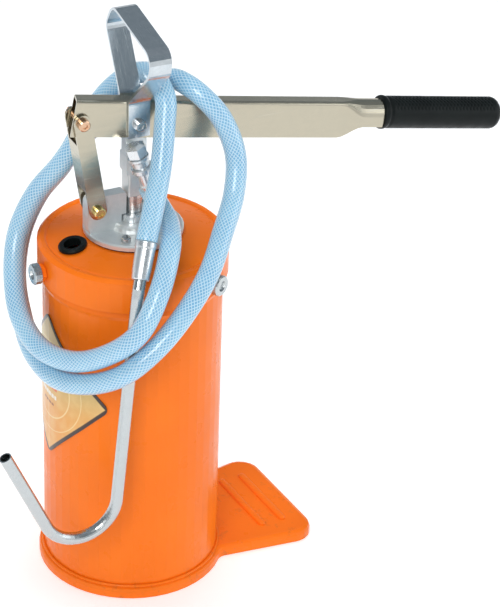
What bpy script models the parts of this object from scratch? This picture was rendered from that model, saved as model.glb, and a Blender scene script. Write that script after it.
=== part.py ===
"""Hand-lever gear oil bucket pump: tank on a foot plate, slip-over lid, rod pump, lever, hose and spout.

Sizes and places are in millimetres, and MM scales them to metres as each mesh is made.
The origin is on the tank's axis at floor level, +Z is up and +X runs along the lever.
"""
import math

import bmesh
import bpy
from mathutils import Matrix, Vector

MM = 0.001
GAP = 0.3  # left between pieces that touch
THICK = 1.2  # sheet steel of the tank and lid

# Foot plate: a pressed tray, open below, with a pedal along +X
BASE_R = 106.3
BASE_TOP = 13.0
BASE_SHEET = 2.0
PEDAL_TURN = math.radians(3.4)
PEDAL_ROOT = (85.0, 69.5)  # a point on the pedal's side edge, near the tank
PEDAL_FLARE = math.radians(8.6)
PEDAL_END = 204.0
PEDAL_CORNER = 24.0
PEDAL_FILLET = 12.0
RIB_PLACES = (148.6, 175.6)
RIB_LENGTH = 106.0
RIB_WIDTH = 9.0
DIMPLE_R = 30.0  # the middle is pressed down to the floor

# Tank and lid
TANK_R = 100.0
TANK_BOTTOM = BASE_TOP + GAP
TANK_TOP = 409.3
BEAD_Z = 368.0
FLOOR_Z = 20.0
LID_R = 105.6
LID_SKIRT_Z = 376.0
LID_RIM_Z = 415.3
LID_SEAT_Z = 422.0
LID_BORE_R = 21.0
CLAMP_ANGLES = (180.0, -60.0, 60.0)
CLAMP_Z = 391.0
CLAMP_SHANK_R = 5.0
GROMMET_AT = (-73.7, -5.6)
GROMMET_TILT = math.radians(11.8)
GROMMET_Z = 418.2
LABEL_Z = 247.8
LABEL_HALF = 92.0
LABEL_CORNER = 0.95

# Pump head and pump
HEAD_R = 55.5
HEAD_BOTTOM = 424.2
HEAD_TOP = 430.2
BOSS_TOP = 438.0
HEAD_SCREW_R = 42.0
BARREL_R = 19.0
BARREL_WALL = 1.8
BARREL_BOTTOM = 52.3
ROD_R = 9.1
ROD_BOTTOM = 96.0
ROD_SHOULDER = 467.7
PISTON_R = BARREL_R - BARREL_WALL - 0.4

# Lever linkage, in the plane Y = 0
ROD_PIN = Vector((0.0, 0.0, 556.0))
LEVER_DROP = math.radians(11.2)  # the lever slopes down to the grip at rest
LINK_ARM = 66.3
LINK_FOOT = Vector((-47.0, 0.0, 460.0))
PIN_R = 4.0
PIN_HOLE_R = 4.3
LEVER_TOP = 25.5  # above the line of its pins
LEVER_BOTTOM = -16.7
LEVER_HALF_WIDTH = 10.0
LEVER_SHEET = 2.5
LEVER_START = -76.5
LEVER_SLANT = 5.0  # how much shorter the back cheek is at that end
NECK_START = 250.0
NECK_END = 277.0
CHANNEL_END = 302.5
TUBE_R = 12.5
TUBE_AXIS = 10.5  # above the line of the pins
TUBE_END = 452.0
GRIP_START = 303.0
GRIP_LENGTH = 156.5
LINK_HALF_WIDTH = 10.0
LINK_INSIDE = 10.6
LINK_SHEET = 3.0
LUG_HALF = 7.0
LUG_SLOT = (-52.7, -36.4)
LUG_SLOT_HALF = 5.2

# Carry handle: flat strip in the plane of Y and Z
HANDLE_HALF_WIDTH = 12.5
HANDLE_SHEET = 3.0
HANDLE_SIDE = 12.1
HANDLE_ROUTE = ((-64.0, 636.0, 25.0), (-68.0, 660.0, 14.0), (32.0, 678.0, 17.0), (49.0, 650.0, 16.0))
HANDLE_FOOT = 541.0
HANDLE_SHOULDER = 585.0

# Outlet fitting, hose and spout
OUTLET_TOP = Vector((-11.5, -25.0, 541.0))
OUTLET_AXIS = Vector((0.30, -0.06, -0.952)).normalized()
OUTLET_PORT_Z = 528.0
HOSE_R = 11.75
HOSE_POINTS = 79
HOSE_BEND_WEIGHT = 40.0  # how many millimetres of run one radian of bend counts as, in spacing the points
HOSE_START = OUTLET_TOP + OUTLET_AXIS * 57.3
FERRULE_TOP = Vector((-26.4, -94.0, 459.9))
FERRULE_AXIS = Vector((-0.379, -0.474, -0.794)).normalized()
FERRULE_LENGTH = 41.5
HOSE_ROUTE = (
    # under the fitting, over the front of the lid, and down past its rim
    (13.0, -38.0, 468.0), (14.0, -60.0, 459.0), (7.0, -82.0, 455.0), (-3.0, -103.0, 450.0),
    (-27.0, -131.0, 419.0), (-55.0, -140.0, 378.0),
    # the inner loop, round the left of the tank and up behind the link
    (-83.0, -117.0, 345.0), (-107.0, -82.0, 324.0), (-126.0, -39.0, 321.0), (-132.0, 4.0, 338.0),
    (-125.0, 40.0, 370.0), (-110.0, 64.0, 409.0), (-88.0, 65.0, 452.0), (-64.0, 54.0, 487.0),
    (-40.0, 46.0, 523.0), (-9.0, 38.0, 547.0),
    # over the lever beside the handle, and down in front
    (17.0, 34.0, 560.0), (40.0, 28.0, 573.0), (51.0, 16.0, 587.0), (58.0, -8.0, 590.0),
    (71.0, -26.0, 579.0), (87.0, -37.0, 556.0), (97.0, -51.0, 518.0), (88.0, -68.0, 481.0),
    (64.0, -92.0, 450.0), (37.0, -117.0, 420.0), (4.0, -134.0, 390.0),
    # the outer loop, below and behind the inner one
    (-33.0, -143.0, 359.0), (-69.0, -136.0, 329.0), (-96.0, -104.0, 305.0), (-117.0, -62.0, 294.0),
    (-125.0, -17.0, 302.0), (-122.0, 25.0, 324.0), (-115.0, 60.0, 356.0), (-99.0, 83.0, 396.0),
    (-76.0, 88.0, 438.0), (-52.0, 78.0, 474.0), (-32.0, 72.0, 512.0), (-11.0, 66.0, 550.0),
    # over the lever again, closer to the handle, and down to the spout's ferrule
    (4.0, 58.0, 571.0), (19.0, 41.0, 589.0), (27.0, 19.0, 597.0), (27.0, -4.0, 596.0),
    (26.0, -23.0, 584.0), (20.5, -34.0, 563.0), (8.0, -53.0, 522.0), (-11.0, -76.0, 487.0),
)
SPOUT_R = 7.0
SPOUT_BEND_R = 44.0
SPOUT_KNEE = Vector((-70.0, -120.0, 160.0))
SPOUT_LEAN = math.radians(5.05)
SPOUT_TURN = math.radians(150.4)
SPOUT_TIP = 112.0
SPOUT_SIDES = 26
SPOUT_BORE_R = 5.6
SPOUT_BORE_DEPTH = 25.0

BODY_ORIGINS = {
    "tank": Vector((0.0, 0.0, 0.0)),
    "cover": Vector((0.0, 0.0, TANK_TOP)),
    "rod": Vector((0.0, 0.0, ROD_SHOULDER)),
    "lever": ROD_PIN,
    "link": ROD_PIN + Vector((-LINK_ARM * math.cos(LEVER_DROP), 0.0, LINK_ARM * math.sin(LEVER_DROP))),
    "foot_ball": Vector((0.0, 0.0, 42.9)),
    "piston_ball": Vector((0.0, 0.0, 88.3)),
}
BODY_PARENTS = {"cover": "tank", "rod": "cover", "lever": "rod", "link": "lever"}
BODY_PARENTS.update({"foot_ball": "cover", "piston_ball": "rod"})
for clamp, clamp_angle in enumerate(CLAMP_ANGLES, 1):
    clamp_turn = math.radians(clamp_angle)
    clamp_foot = (LID_R * math.cos(clamp_turn), LID_R * math.sin(clamp_turn), CLAMP_Z)
    BODY_ORIGINS["clamp_%d" % clamp] = Vector(clamp_foot)
    BODY_PARENTS["clamp_%d" % clamp] = "cover"
LINK_HEAD = BODY_ORIGINS["link"]

COLOURS = {
    "orange_paint": ((0.87, 0.19, 0.018), 0.35, 0.1),
    "label": ((0.80, 0.45, 0.06), 0.5, 0.0),
    "rubber": ((0.02, 0.02, 0.022), 0.8, 0.0),
    "zinc_steel": ((0.62, 0.61, 0.58), 0.35, 0.9),
    "dull_steel": ((0.42, 0.42, 0.40), 0.5, 0.8),
    "bright_steel": ((0.75, 0.75, 0.74), 0.2, 1.0),
    "yellow_zinc": ((0.62, 0.47, 0.22), 0.35, 0.9),
    "brass": ((0.70, 0.50, 0.20), 0.3, 1.0),
    "pvc_hose": ((0.25, 0.58, 0.82), 0.25, 0.0),
}

empties = {}


def clear_scene():
    for old in list(bpy.data.objects):
        bpy.data.objects.remove(old, do_unlink=True)


def make_empties():
    for body, origin in BODY_ORIGINS.items():
        empty = bpy.data.objects.new("pivot_" + body, None)
        bpy.context.scene.collection.objects.link(empty)
        parent = BODY_PARENTS.get(body)
        start = BODY_ORIGINS[parent] if parent else Vector((0.0, 0.0, 0.0))
        empty.location = (origin - start) * MM
        empties[body] = empty
        if parent:
            empty.parent = empties[parent]


def material(name, look):
    colour, roughness, metallic = COLOURS[look]
    mat = bpy.data.materials.new(name)
    mat.use_nodes = True
    shader = mat.node_tree.nodes["Principled BSDF"]
    shader.inputs["Base Color"].default_value = (*colour, 1.0)
    shader.inputs["Roughness"].default_value = roughness
    shader.inputs["Metallic"].default_value = metallic
    return mat


def finish(name, bm, body, look=None, place=None):
    """Turn a bmesh in millimetres into an object of the body, or into a hidden cutter when it has no look."""
    if place is not None:
        bmesh.ops.transform(bm, matrix=place, verts=bm.verts)
    bmesh.ops.translate(bm, vec=-BODY_ORIGINS[body], verts=bm.verts)
    bmesh.ops.scale(bm, vec=(MM, MM, MM), verts=bm.verts)
    bmesh.ops.recalc_face_normals(bm, faces=bm.faces)
    mesh = bpy.data.meshes.new(name)
    bm.to_mesh(mesh)
    bm.free()
    if look:
        mesh.materials.append(material(name, look))
        mesh.shade_smooth()
        mesh.set_sharp_from_angle(angle=math.radians(35.0))
    obj = bpy.data.objects.new(name, mesh)
    bpy.context.scene.collection.objects.link(obj)
    obj.parent = empties[body]
    if not look:
        obj.hide_render = True
        obj.display_type = "WIRE"
    return obj


def combine(target, tool, operation):
    step = target.modifiers.new(operation.lower() + "_" + tool.name, "BOOLEAN")
    step.operation = operation
    step.object = tool
    step.solver = "EXACT"


def axis_place(origin, axis):
    """A matrix that carries +Z onto the axis, with its zero at the origin."""
    turn = Vector(axis).normalized().to_track_quat("Z", "Y").to_matrix().to_4x4()
    return Matrix.Translation(Vector(origin)) @ turn


def lathe(profile, segments):
    """Turn a profile of (radius, height) about Z. It is a ring unless it starts and ends on the axis."""
    bm = bmesh.new()
    rings = []
    for radius, height in profile:
        if radius == 0.0:
            rings.append([bm.verts.new((0.0, 0.0, height))])
            continue
        turns = [2.0 * math.pi * k / segments for k in range(segments)]
        rings.append([bm.verts.new((radius * math.cos(a), radius * math.sin(a), height)) for a in turns])
    following = rings[1:] + ([rings[0]] if profile[0][0] > 0.0 else [])
    for near, far in zip(rings, following):
        for k in range(segments):
            after = (k + 1) % segments
            if len(near) == 1:
                bm.faces.new((near[0], far[k], far[after]))
            elif len(far) == 1:
                bm.faces.new((near[k], far[0], near[after]))
            else:
                bm.faces.new((near[k], far[k], far[after], near[after]))
    return bm


def rod_shape(radius, length, segments):
    return lathe(((0.0, 0.0), (radius, 0.0), (radius, length), (0.0, length)), segments)


def prism(outline, low, high):
    """Extrude an outline of (x, y) along Z from low to high."""
    bm = bmesh.new()
    bottom = [bm.verts.new((x, y, low)) for x, y in outline]
    top = [bm.verts.new((x, y, high)) for x, y in outline]
    bm.faces.new(bottom)
    bm.faces.new(top)
    for k in range(len(outline)):
        after = (k + 1) % len(outline)
        bm.faces.new((bottom[k], bottom[after], top[after], top[k]))
    return bm


def arc(centre, radius, start, end, steps):
    """Points on an arc, angles in radians."""
    angles = [start + (end - start) * k / steps for k in range(steps + 1)]
    return [(centre[0] + radius * math.cos(a), centre[1] + radius * math.sin(a)) for a in angles]


def rounded(points, radii, steps=5):
    """Round each corner of a closed outline; a radius of 0 keeps the corner."""
    result = []
    for k, radius in enumerate(radii):
        corner = Vector(points[k])
        if radius == 0.0:
            result.append(tuple(corner))
            continue
        back = (Vector(points[k - 1]) - corner).normalized()
        ahead = (Vector(points[(k + 1) % len(points)]) - corner).normalized()
        half = back.angle(ahead) / 2.0
        centre = corner + (back + ahead).normalized() * radius / math.sin(half)
        start = corner + back * radius / math.tan(half) - centre
        end = corner + ahead * radius / math.tan(half) - centre
        for step in range(steps + 1):
            ray = start.lerp(end, step / steps).normalized() * radius
            result.append(tuple(centre + ray))
    return result


def inset(outline, distance):
    """Move an anticlockwise outline inwards by a distance."""
    result = []
    for k in range(len(outline)):
        here = Vector(outline[k])
        before = (here - Vector(outline[k - 1])).normalized()
        after = (Vector(outline[(k + 1) % len(outline)]) - here).normalized()
        inwards = Vector((-before.y - after.y, before.x + after.x)).normalized()
        stretch = max(0.5, inwards.dot(Vector((-after.y, after.x))))
        result.append(tuple(here + inwards * distance / stretch))
    return result


def stacked(outline, levels):
    """Join copies of an outline, each (inset, height), and close the two ends."""
    bm = bmesh.new()
    rings = []
    for distance, height in levels:
        rings.append([bm.verts.new((x, y, height)) for x, y in inset(outline, distance)])
    bm.faces.new(rings[0])
    bm.faces.new(rings[-1])
    for low, high in zip(rings, rings[1:]):
        for k in range(len(outline)):
            after = (k + 1) % len(outline)
            bm.faces.new((low[k], low[after], high[after], high[k]))
    return bm


def tube_curve(name, points, radius, resolution, body, look):
    """A round bar along points, as a poly curve with filled ends."""
    data = bpy.data.curves.new(name, "CURVE")
    data.dimensions = "3D"
    data.bevel_depth = radius * MM
    data.bevel_resolution = resolution
    data.use_fill_caps = True
    spline = data.splines.new("POLY")
    spline.points.add(len(points) - 1)
    for knot, point in zip(spline.points, points):
        knot.co = (*((Vector(point) - BODY_ORIGINS[body]) * MM), 1.0)
    data.materials.append(material(name, look))
    obj = bpy.data.objects.new(name, data)
    bpy.context.scene.collection.objects.link(obj)
    obj.parent = empties[body]
    return obj


def smooth_path(knots, start_dir, end_dir, count, bend_weight=0.0):
    """Points along a centripetal Catmull-Rom curve through the knots, closer together where it bends."""
    knots = [Vector(k) for k in knots]
    first = knots[0] - start_dir * (knots[1] - knots[0]).length
    last = knots[-1] + end_dir * (knots[-1] - knots[-2]).length
    chain = [first] + knots + [last]
    dense = [knots[0]]
    for a, b, c, d in zip(chain, chain[1:], chain[2:], chain[3:]):
        t1 = math.sqrt((b - a).length)
        t2 = t1 + math.sqrt((c - b).length)
        t3 = t2 + math.sqrt((d - c).length)
        for step in range(1, 13):
            t = t1 + (t2 - t1) * step / 12
            ab = a.lerp(b, t / t1)
            bc = b.lerp(c, (t - t1) / (t2 - t1))
            cd = c.lerp(d, (t - t2) / (t3 - t2))
            abc = ab.lerp(bc, t / t2)
            bcd = bc.lerp(cd, (t - t1) / (t3 - t1))
            dense.append(abc.lerp(bcd, (t - t1) / (t2 - t1)))
    lengths = [0.0]
    heading = start_dir
    for near, far in zip(dense, dense[1:]):
        bend = heading.angle(far - near)
        heading = far - near
        lengths.append(lengths[-1] + heading.length + bend_weight * bend)
    path = []
    k = 0
    for step in range(count):
        goal = lengths[-1] * step / (count - 1)
        while k < len(lengths) - 2 and lengths[k + 1] < goal:
            k += 1
        share = (goal - lengths[k]) / (lengths[k + 1] - lengths[k])
        path.append(dense[k].lerp(dense[k + 1], share))
    return path


# ---------------------------------------------------------------- foot plate and tank

def base_outline():
    """The tank's circle, blended into a flared pedal with rounded corners, anticlockwise."""
    along = Vector((math.cos(PEDAL_FLARE), math.sin(PEDAL_FLARE)))
    normal = Vector((-along.y, along.x))
    start = Vector(PEDAL_ROOT) + normal * PEDAL_FILLET
    reach = BASE_R + PEDAL_FILLET
    slope = start.dot(along)
    shift = -slope - math.sqrt(slope * slope - start.dot(start) + reach * reach)
    other = -slope + math.sqrt(slope * slope - start.dot(start) + reach * reach)
    shift = shift if abs(shift) < abs(other) else other
    centre = start + along * shift
    turn = math.atan2(centre.y, centre.x)
    fillet = arc(centre, PEDAL_FILLET, turn - math.pi, math.atan2(-normal.y, -normal.x), 4)
    end_half = PEDAL_ROOT[1] + (PEDAL_END - PEDAL_ROOT[0]) * math.tan(PEDAL_FLARE)
    side = (centre.x - normal.x * PEDAL_FILLET, centre.y - normal.y * PEDAL_FILLET)
    corner = rounded((side, (PEDAL_END, end_half), (PEDAL_END, 0.0)), (0.0, PEDAL_CORNER, 0.0), 6)[1:-1]
    upper = fillet + corner
    lower = [(x, -y) for x, y in upper]
    circle = arc((0.0, 0.0), BASE_R, turn, 2.0 * math.pi - turn, 38)[1:-1]
    outline = circle + lower + list(reversed(upper))
    spin = Matrix.Rotation(PEDAL_TURN, 2)
    return [tuple(spin @ Vector(p)) for p in outline]


def make_base():
    under = BASE_TOP - BASE_SHEET
    outside = [(0.0, 0.0), (0.0, 7.8), (1.4, 11.5), (5.0, BASE_TOP)]
    hollow = [(BASE_SHEET, -2.0), (BASE_SHEET, 7.0), (3.2, 9.8), (6.2, under)]
    base = finish("base_plate", stacked(base_outline(), outside), "tank", "orange_paint")
    combine(base, finish("cut_base_hollow", stacked(base_outline(), hollow), "tank"), "DIFFERENCE")
    boss = finish("add_base_boss", rod_shape(DIMPLE_R, BASE_TOP - 1.0, 32), "tank")
    combine(base, boss, "UNION")
    dimple = Matrix.Translation((0.0, 0.0, BASE_SHEET))
    well = finish("cut_base_dimple", rod_shape(DIMPLE_R - BASE_SHEET, 20.0, 32), "tank", None, dimple)
    combine(base, well, "DIFFERENCE")
    half = RIB_LENGTH / 2.0 - RIB_WIDTH / 2.0
    ends = arc((0.0, half), RIB_WIDTH / 2.0, 0.0, math.pi, 6) + arc((0.0, -half), RIB_WIDTH / 2.0, math.pi, 2 * math.pi, 6)
    profile = [(0.0, BASE_TOP - 1.0), (0.0, 14.0), (1.4, 15.5), (3.2, 16.0)]
    for number, place in enumerate(RIB_PLACES, 1):
        where = Matrix.Rotation(PEDAL_TURN, 4, "Z") @ Matrix.Translation((place, 0.0, 0.0))
        combine(base, finish("add_rib_%d" % number, stacked(ends, profile), "tank", None, where), "UNION")


def make_tank():
    r = TANK_R
    t = THICK
    shell = [(r - t, TANK_BOTTOM), (r, TANK_BOTTOM), (r, BEAD_Z - 4.5), (r + 1.5, BEAD_Z), (r, BEAD_Z + 4.5),
             (r, TANK_TOP), (r - t, TANK_TOP), (r - t, BEAD_Z + 4.8), (r + 0.3, BEAD_Z), (r - t, BEAD_Z - 4.8)]
    finish("tank_shell", lathe(shell, 48), "tank", "orange_paint")
    edge = r - t - GAP
    pan = [(0.0, FLOOR_Z + t), (edge - 4.0, FLOOR_Z + t), (edge, FLOOR_Z - 3.0), (edge, FLOOR_Z - 6.4),
           (edge - t, FLOOR_Z - 6.4), (edge - t, FLOOR_Z - 3.4), (edge - 4.4, FLOOR_Z), (0.0, FLOOR_Z)]
    finish("tank_floor", lathe(pan, 40), "tank", "orange_paint")


def make_label():
    """A square plate standing on its corner, bent to the tank's wall, with its four corners taken in."""
    bm = bmesh.new()
    count = 10
    layers = []
    for radius in (TANK_R + 2.0 * GAP, TANK_R + 4.0 * GAP):
        sheet = []
        for row in range(count + 1):
            line = []
            for column in range(count + 1):
                reach = LABEL_HALF / 2.0
                if row in (0, count) and column in (0, count):
                    reach *= LABEL_CORNER
                rise = reach * (2.0 * row / count - 1.0)
                run = reach * (2.0 * column / count - 1.0)
                turn = math.pi + (run - rise) / TANK_R
                height = LABEL_Z + run + rise
                line.append(bm.verts.new((radius * math.cos(turn), radius * math.sin(turn), height)))
            sheet.append(line)
        layers.append(sheet)
    for sheet in layers:
        for low, high in zip(sheet, sheet[1:]):
            for k in range(count):
                bm.faces.new((low[k], low[k + 1], high[k + 1], high[k]))
    inner, outer = [
        sheet[0] + [line[-1] for line in sheet[1:]] + sheet[-1][-2::-1] + [line[0] for line in sheet[-2:0:-1]]
        for sheet in layers
    ]
    for k in range(len(inner)):
        after = (k + 1) % len(inner)
        bm.faces.new((inner[k], inner[after], outer[after], outer[k]))
    finish("label_plate", bm, "tank", "label")


# ---------------------------------------------------------------- lid and its fittings

def grommet_place():
    turn = math.atan2(GROMMET_AT[1], GROMMET_AT[0])
    tilt = Matrix.Rotation(turn, 4, "Z") @ Matrix.Rotation(GROMMET_TILT, 4, "Y")
    return Matrix.Translation((GROMMET_AT[0], GROMMET_AT[1], GROMMET_Z)) @ tilt


def clamp_place(angle, distance):
    turn = math.radians(angle)
    outwards = Vector((math.cos(turn), math.sin(turn), 0.0))
    return axis_place(outwards * distance + Vector((0.0, 0.0, CLAMP_Z)), outwards)


def make_lid():
    r = LID_R
    t = THICK
    top = [(LID_BORE_R, LID_SEAT_Z), (58.0, LID_SEAT_Z), (93.2, 414.7), (95.2, 413.7), (97.6, LID_RIM_Z),
           (101.8, LID_RIM_Z), (r, 411.5)]
    under = [(r, LID_SKIRT_Z), (r - t, LID_SKIRT_Z), (r - t, 411.0), (101.4, 414.1), (98.2, 414.1),
             (95.3, 412.3), (92.9, 413.4), (57.8, LID_SEAT_Z - t), (LID_BORE_R, LID_SEAT_Z - t)]
    lid = finish("lid", lathe(top + under, 48), "cover", "orange_paint")
    sleeve = grommet_place() @ Matrix.Translation((0.0, 0.0, -10.0))
    combine(lid, finish("cut_lid_grommet", rod_shape(12.0, 20.0, 20), "cover", None, sleeve), "DIFFERENCE")
    for number, angle in enumerate(CLAMP_ANGLES, 1):
        hole = rod_shape(CLAMP_SHANK_R + GAP, 20.0, 12)
        combine(lid, finish("cut_lid_clamp_%d" % number, hole, "cover", None, clamp_place(angle, 95.0)), "DIFFERENCE")
    gasket = [(95.8, TANK_TOP + GAP), (103.0, TANK_TOP + GAP), (103.0, 411.3), (95.8, 411.7)]
    finish("lid_gasket", lathe(gasket, 40), "cover", "rubber")


def make_grommet():
    lip = 2.1
    profile = [(9.8, -4.6), (15.0, -4.0), (15.0, -lip), (11.7, -lip), (11.7, lip - 0.6), (16.0, lip - 0.6),
               (16.0, 3.6), (14.2, 5.4), (9.8, 5.0)]
    finish("lid_grommet", lathe(profile, 24), "cover", "rubber", grommet_place())


def make_nut(name, corner, bore, height, body, look, place):
    """A hexagon nut standing on the place's zero, with its round hole cut through."""
    shape = lathe(((0.0, 0.0), (corner, 0.0), (corner, height - 0.8), (corner - 0.9, height), (0.0, height)), 6)
    nut = finish(name, shape, body, look, place)
    nut.data.shade_flat()
    hole = rod_shape(bore, height + 4.0, 12)
    combine(nut, finish("cut_" + name, hole, body, None, place @ Matrix.Translation((0.0, 0.0, -2.0))), "DIFFERENCE")


def make_clamps():
    for number, angle in enumerate(CLAMP_ANGLES, 1):
        place = clamp_place(angle, LID_R + GAP)
        make_nut("lid_nut_%d" % number, 9.8, CLAMP_SHANK_R + GAP, 5.0, "cover", "orange_paint", place)
        r = CLAMP_SHANK_R
        tip = TANK_R + GAP
        screw = [(0.0, 0.0), (r, 0.0), (r, 111.6 - tip), (11.8, 111.6 - tip), (11.8, 118.4 - tip),
                 (10.6, 119.6 - tip), (6.0, 119.6 - tip), (4.6, 117.2 - tip), (0.0, 117.2 - tip)]
        body = "clamp_%d" % number
        finish("lid_clamp_%d" % number, lathe(screw, 18), body, "zinc_steel", clamp_place(angle, tip))


# ---------------------------------------------------------------- pump head, barrel and valves

def make_head():
    finish("head_gasket", lathe(((22.0, LID_SEAT_Z + GAP), (54.0, LID_SEAT_Z + GAP), (54.0, HEAD_BOTTOM - GAP),
           (22.0, HEAD_BOTTOM - GAP)), 32), "cover", "rubber")
    disc = [(9.7, HEAD_BOTTOM), (HEAD_R, HEAD_BOTTOM), (HEAD_R, HEAD_TOP - 1.6), (HEAD_R - 1.8, HEAD_TOP),
            (28.0, HEAD_TOP), (25.5, HEAD_TOP + 3.0), (25.5, BOSS_TOP - 2.0), (23.5, BOSS_TOP),
            (14.5, BOSS_TOP), (14.5, 431.0), (9.7, 431.0)]
    head = finish("pump_head", lathe(disc, 36), "cover", "zinc_steel")
    corners = ((-54.0, 426.5), (-17.0, 426.5), (-17.0, 447.5), (-11.6, 447.5), (-11.6, 473.5), (-57.0, 473.5),
               (-57.0, 437.0), (-54.0, 433.0))
    outline = rounded(corners, (0.0, 0.0, 0.0, 0.0, 2.0, 7.0, 0.0, 0.0), 4)
    upright = Matrix.Rotation(math.pi / 2.0, 4, "X")
    combine(head, finish("add_head_lug", prism(outline, -LUG_HALF, LUG_HALF), "cover", None, upright), "UNION")
    left, right = LUG_SLOT
    r = LUG_SLOT_HALF
    z = LINK_FOOT.z
    slot = arc((right - r, z), r, -math.pi / 2, math.pi / 2, 8) + arc((left + r, z), r, math.pi / 2, 1.5 * math.pi, 8)
    combine(head, finish("cut_head_slot", prism(slot, -20.0, 20.0), "cover", None, upright), "DIFFERENCE")
    for number in range(1, 5):
        turn = math.radians(-34.6 + 90.0 * number)
        place = Matrix.Translation((HEAD_SCREW_R * math.cos(turn), HEAD_SCREW_R * math.sin(turn), 0.0))
        hole = Matrix.Translation((0.0, 0.0, 410.0))
        cutter = finish("cut_head_screw_%d" % number, rod_shape(3.3, 30.0, 12), "cover", None, place @ hole)
        combine(head, cutter, "DIFFERENCE")
        combine(bpy.data.objects["head_gasket"], cutter, "DIFFERENCE")
        combine(bpy.data.objects["lid"], cutter, "DIFFERENCE")
        top = HEAD_TOP + GAP
        bolt = [(0.0, 415.5), (3.0, 415.5), (3.0, top), (5.8, top), (5.4, top + 3.4), (4.4, top + 4.4),
                (0.0, top + 4.4)]
        finish("head_screw_%d" % number, lathe(bolt, 12), "cover", "bright_steel", place)
    seal = [(ROD_R + GAP, 431.3), (14.2, 431.3), (14.2, 436.0), (ROD_R + GAP, 436.0)]
    finish("rod_seal", lathe(seal, 24), "cover", "rubber")
    gland = [(9.6, 436.3), (14.2, 436.3), (14.2, 438.3), (16.6, 438.3), (16.6, 444.6), (15.4, 446.0), (9.6, 446.0)]
    finish("gland_nut", lathe(gland, 28), "cover", "zinc_steel")


def make_barrel():
    inner = BARREL_R - BARREL_WALL
    top = HEAD_BOTTOM - GAP
    barrel = [(inner, BARREL_BOTTOM), (BARREL_R, BARREL_BOTTOM), (BARREL_R, top), (inner, top)]
    finish("pump_barrel", lathe(barrel, 28), "cover", "dull_steel")
    foot = [(5.0, 34.3), (19.0, 34.3), (19.0, 52.0), (15.4, 52.0), (15.4, 56.0), (13.8, 56.0), (13.8, 44.0),
            (5.0, 37.0)]
    finish("foot_valve_body", lathe(foot, 24), "cover", "brass")
    strainer = [(0.0, 24.0), (17.0, 24.0), (17.0, 34.0), (15.8, 34.0), (15.8, 25.2), (0.0, 25.2)]
    cup = finish("suction_strainer", lathe(strainer, 24), "cover", "dull_steel")
    for number in range(6):
        turn = 2.0 * math.pi * number / 6.0
        outwards = Vector((math.cos(turn), math.sin(turn), 0.0))
        place = axis_place(outwards * 10.0 + Vector((0.0, 0.0, 29.8)), outwards)
        combine(cup, finish("cut_strainer_%d" % number, rod_shape(2.0, 12.0, 10), "cover", None, place), "DIFFERENCE")
    make_ball("foot_valve_ball", 7.4, "foot_ball")
    make_ball("piston_valve_ball", 4.6, "piston_ball")


def make_ball(name, radius, body):
    bm = bmesh.new()
    bmesh.ops.create_icosphere(bm, subdivisions=2, radius=radius)
    finish(name, bm, body, "bright_steel", Matrix.Translation(BODY_ORIGINS[body]))


def make_rod():
    rod = [(4.5, ROD_BOTTOM), (ROD_R, ROD_BOTTOM), (ROD_R, ROD_SHOULDER),
           (6.6, ROD_SHOULDER), (6.6, 489.0), (4.5, 489.0)]
    finish("piston_rod", lathe(rod, 28), "rod", "bright_steel")
    r = PISTON_R
    piston = [(3.4, 82.0), (r, 82.0), (r, 92.0), (r - 3.0, 92.0), (r - 3.0, 102.0), (r, 102.0), (r, 112.0),
              (ROD_R + GAP, 112.0), (ROD_R + GAP, ROD_BOTTOM - GAP), (5.6, ROD_BOTTOM - GAP), (5.6, 87.0),
              (3.4, 84.6)]
    finish("piston_body", lathe(piston, 24), "rod", "brass")
    cup = [(r - 2.7, 92.3), (r + 0.1, 92.3), (r + 0.1, 101.7), (r - 2.7, 101.7)]
    finish("piston_seal", lathe(cup, 24), "rod", "rubber")


# ---------------------------------------------------------------- yoke, handle and outlet

def make_yoke():
    upright = Matrix.Rotation(math.pi / 2.0, 4, "X")
    z = ROD_PIN.z
    tongue = [(12.0, 505.0)] + arc((0.0, z), 12.0, 0.0, math.pi, 12) + [(-12.0, 505.0)]
    yoke = finish("rod_yoke", prism(tongue, -6.4, 6.4), "rod", "zinc_steel", upright)
    chest = rounded(((-12.3, 495.0), (13.4, 495.0), (13.4, 518.0), (-12.3, 518.0)), (1.5, 1.5, 1.5, 1.5), 2)
    combine(yoke, finish("add_yoke_chest", prism(chest, -10.0, 10.0), "rod", None, upright), "UNION")
    leg = rounded(((-10.2, -10.2), (10.2, -10.2), (10.2, 10.2), (-10.2, 10.2)), (1.5, 1.5, 1.5, 1.5), 2)
    combine(yoke, finish("add_yoke_leg", prism(leg, 468.0, 505.0), "rod"), "UNION")
    bore = Matrix.Translation((0.0, 0.0, 460.0))
    combine(yoke, finish("cut_yoke_bore", rod_shape(6.9, 29.4, 20), "rod", None, bore), "DIFFERENCE")
    rise = Matrix.Translation((0.0, 0.0, 480.0))
    combine(yoke, finish("cut_yoke_rise", rod_shape(3.4, OUTLET_PORT_Z - 480.0, 16), "rod", None, rise), "DIFFERENCE")
    port = axis_place((outlet_port_x(), 0.0, OUTLET_PORT_Z), (0.0, -1.0, 0.0))
    combine(yoke, finish("cut_yoke_port", rod_shape(3.2, 20.0, 16), "rod", None, port), "DIFFERENCE")
    combine(yoke, pin_cutter("cut_yoke_pin", ROD_PIN, "rod"), "DIFFERENCE")


def pin_cutter(name, centre, body):
    place = axis_place(centre - Vector((0.0, 40.0, 0.0)), (0.0, 1.0, 0.0))
    return finish(name, rod_shape(PIN_HOLE_R, 80.0, 16), body, None, place)


def outlet_port_x():
    down = (OUTLET_PORT_Z - OUTLET_TOP.z) / OUTLET_AXIS.z
    return OUTLET_TOP.x + OUTLET_AXIS.x * down


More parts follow.
